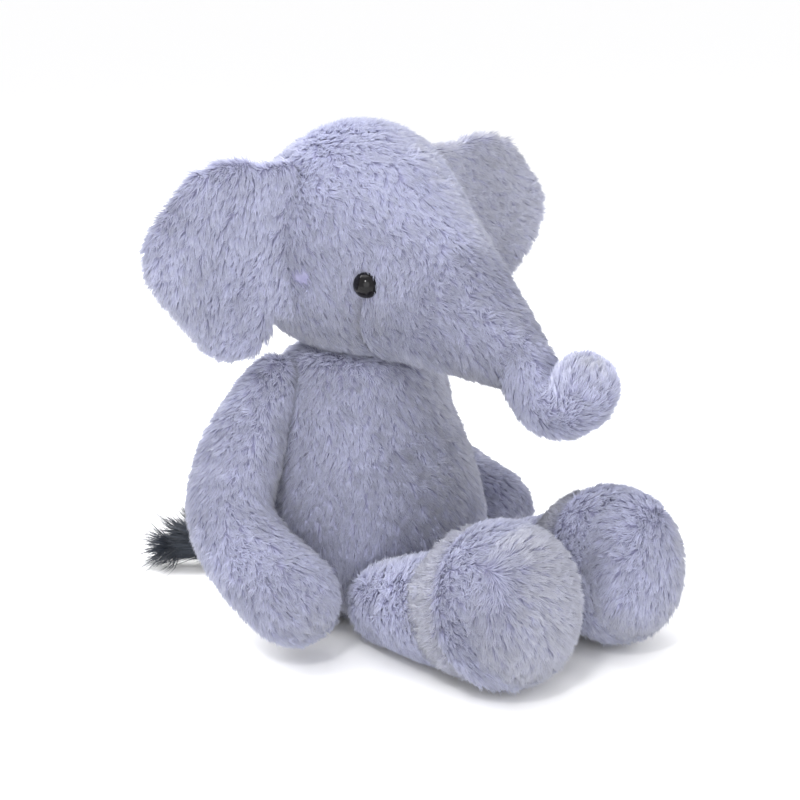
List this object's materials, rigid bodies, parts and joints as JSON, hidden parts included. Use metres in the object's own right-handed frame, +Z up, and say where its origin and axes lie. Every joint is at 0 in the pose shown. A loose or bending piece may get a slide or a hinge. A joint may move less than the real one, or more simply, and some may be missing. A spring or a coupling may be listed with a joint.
{
  "type": "stuffed_elephant",
  "caption": "Sitting stuffed elephant: sewn plush covers over fibre filling, curled trunk, floppy ears, black safety eyes and a dark hair tail",
  "frame": {"origin": "the middle of the flat seat under the torso, on the surface the toy sits on", "axes": "+Z up; the toy faces -Y; its left side is at +X"},
  "size_m": [0.3232, 0.3366, 0.2866],
  "materials": {
    "fur": "long soft plush, periwinkle grey",
    "filling": "loose white fibre",
    "pouch": "plain woven bag of pellets",
    "thread": "sewing thread",
    "hair": "long dark hair pile",
    "eye": "polished black",
    "washer": "moulded black"
  },
  "bodies": {
    "torso": {"torso_cover": "fur", "torso_filling": "filling", "pellet_pouch": "pouch"},
    "neck": {"neck_filling": "filling", "neck_stitching": "thread"},
    "head": {"head_cover": "fur", "head_filling": "filling", "eye_right": "eye", "eye_left": "eye", "eye_washer_right": "washer", "eye_washer_left": "washer"},
    "trunk": {"trunk_cover": "fur", "trunk_filling": "filling"},
    "trunk_tip": {"trunk_tip_cover": "fur", "trunk_tip_filling": "filling"},
    "ear_right": {"ear_front_right": "fur", "ear_back_right": "fur"},
    "arm_right": {"arm_cover_right": "fur", "arm_filling_right": "filling"},
    "leg_right": {"leg_cover_right": "fur", "leg_filling_right": "filling"},
    "foot_right": {"foot_cover_right": "fur", "foot_filling_right": "filling", "sole_right": "fur"},
    "ear_left": {"ear_front_left": "fur", "ear_back_left": "fur"},
    "arm_left": {"arm_cover_left": "fur", "arm_filling_left": "filling"},
    "leg_left": {"leg_cover_left": "fur", "leg_filling_left": "filling"},
    "foot_left": {"foot_cover_left": "fur", "foot_filling_left": "filling", "sole_left": "fur"},
    "tail": {"tail_stub": "fur", "tail_hair": "hair"}
  },
  "joints": [
    {"name": "neck_turn", "type": "hinge", "parent": "torso", "child": "neck", "pos_m": [0, 0.005, 0.1475], "axis": [0, 0, 1], "range_deg": [-25, 25]},
    {"name": "neck_nod", "type": "hinge", "parent": "neck", "child": "head", "pos_m": [0, 0.005, 0.1485], "axis": [1, 0, 0], "range_deg": [-7, 7]},
    {"name": "trunk_lift", "type": "hinge", "parent": "head", "child": "trunk", "pos_m": [0, -0.07048, 0.18896], "axis": [-1, 0, 0], "range_deg": [-12, 20]},
    {"name": "trunk_curl", "type": "hinge", "parent": "trunk", "child": "trunk_tip", "pos_m": [0, -0.12663, 0.16513], "axis": [-1, 0, 0], "range_deg": [-15, 20]},
    {"name": "ear_right_flap", "type": "hinge", "parent": "head", "child": "ear_right", "pos_m": [-0.062, 0.002, 0.23], "axis": [0, 0, 1], "range_deg": [-20, 25]},
    {"name": "shoulder_right_swing", "type": "hinge", "parent": "torso", "child": "arm_right", "pos_m": [-0.063, 0.018, 0.136], "axis": [-1, 0, 0], "range_deg": [-20, 22]},
    {"name": "hip_right_lift", "type": "hinge", "parent": "torso", "child": "leg_right", "pos_m": [-0.048, -0.067, 0.023], "axis": [-1, 0, 0], "range_deg": [0, 15]},
    {"name": "ankle_right_flex", "type": "hinge", "parent": "leg_right", "child": "foot_right", "pos_m": [-0.05133, -0.1305, 0.0365], "axis": [-1, 0, 0], "range_deg": [-10, 10]},
    {"name": "ear_left_flap", "type": "hinge", "parent": "head", "child": "ear_left", "pos_m": [0.062, 0.002, 0.23], "axis": [0, 0, -1], "range_deg": [-20, 25]},
    {"name": "shoulder_left_swing", "type": "hinge", "parent": "torso", "child": "arm_left", "pos_m": [0.063, 0.018, 0.136], "axis": [-1, 0, 0], "range_deg": [-20, 22]},
    {"name": "hip_left_lift", "type": "hinge", "parent": "torso", "child": "leg_left", "pos_m": [0.048, -0.067, 0.023], "axis": [-1, 0, 0], "range_deg": [0, 15]},
    {"name": "ankle_left_flex", "type": "hinge", "parent": "leg_left", "child": "foot_left", "pos_m": [0.04246, -0.13034, 0.0365], "axis": [-1, 0, 0], "range_deg": [-10, 10]},
    {"name": "tail_swing", "type": "hinge", "parent": "torso", "child": "tail", "pos_m": [0, 0.073, 0.017], "axis": [0, 0, 1], "range_deg": [-60, 10]}
  ]
}
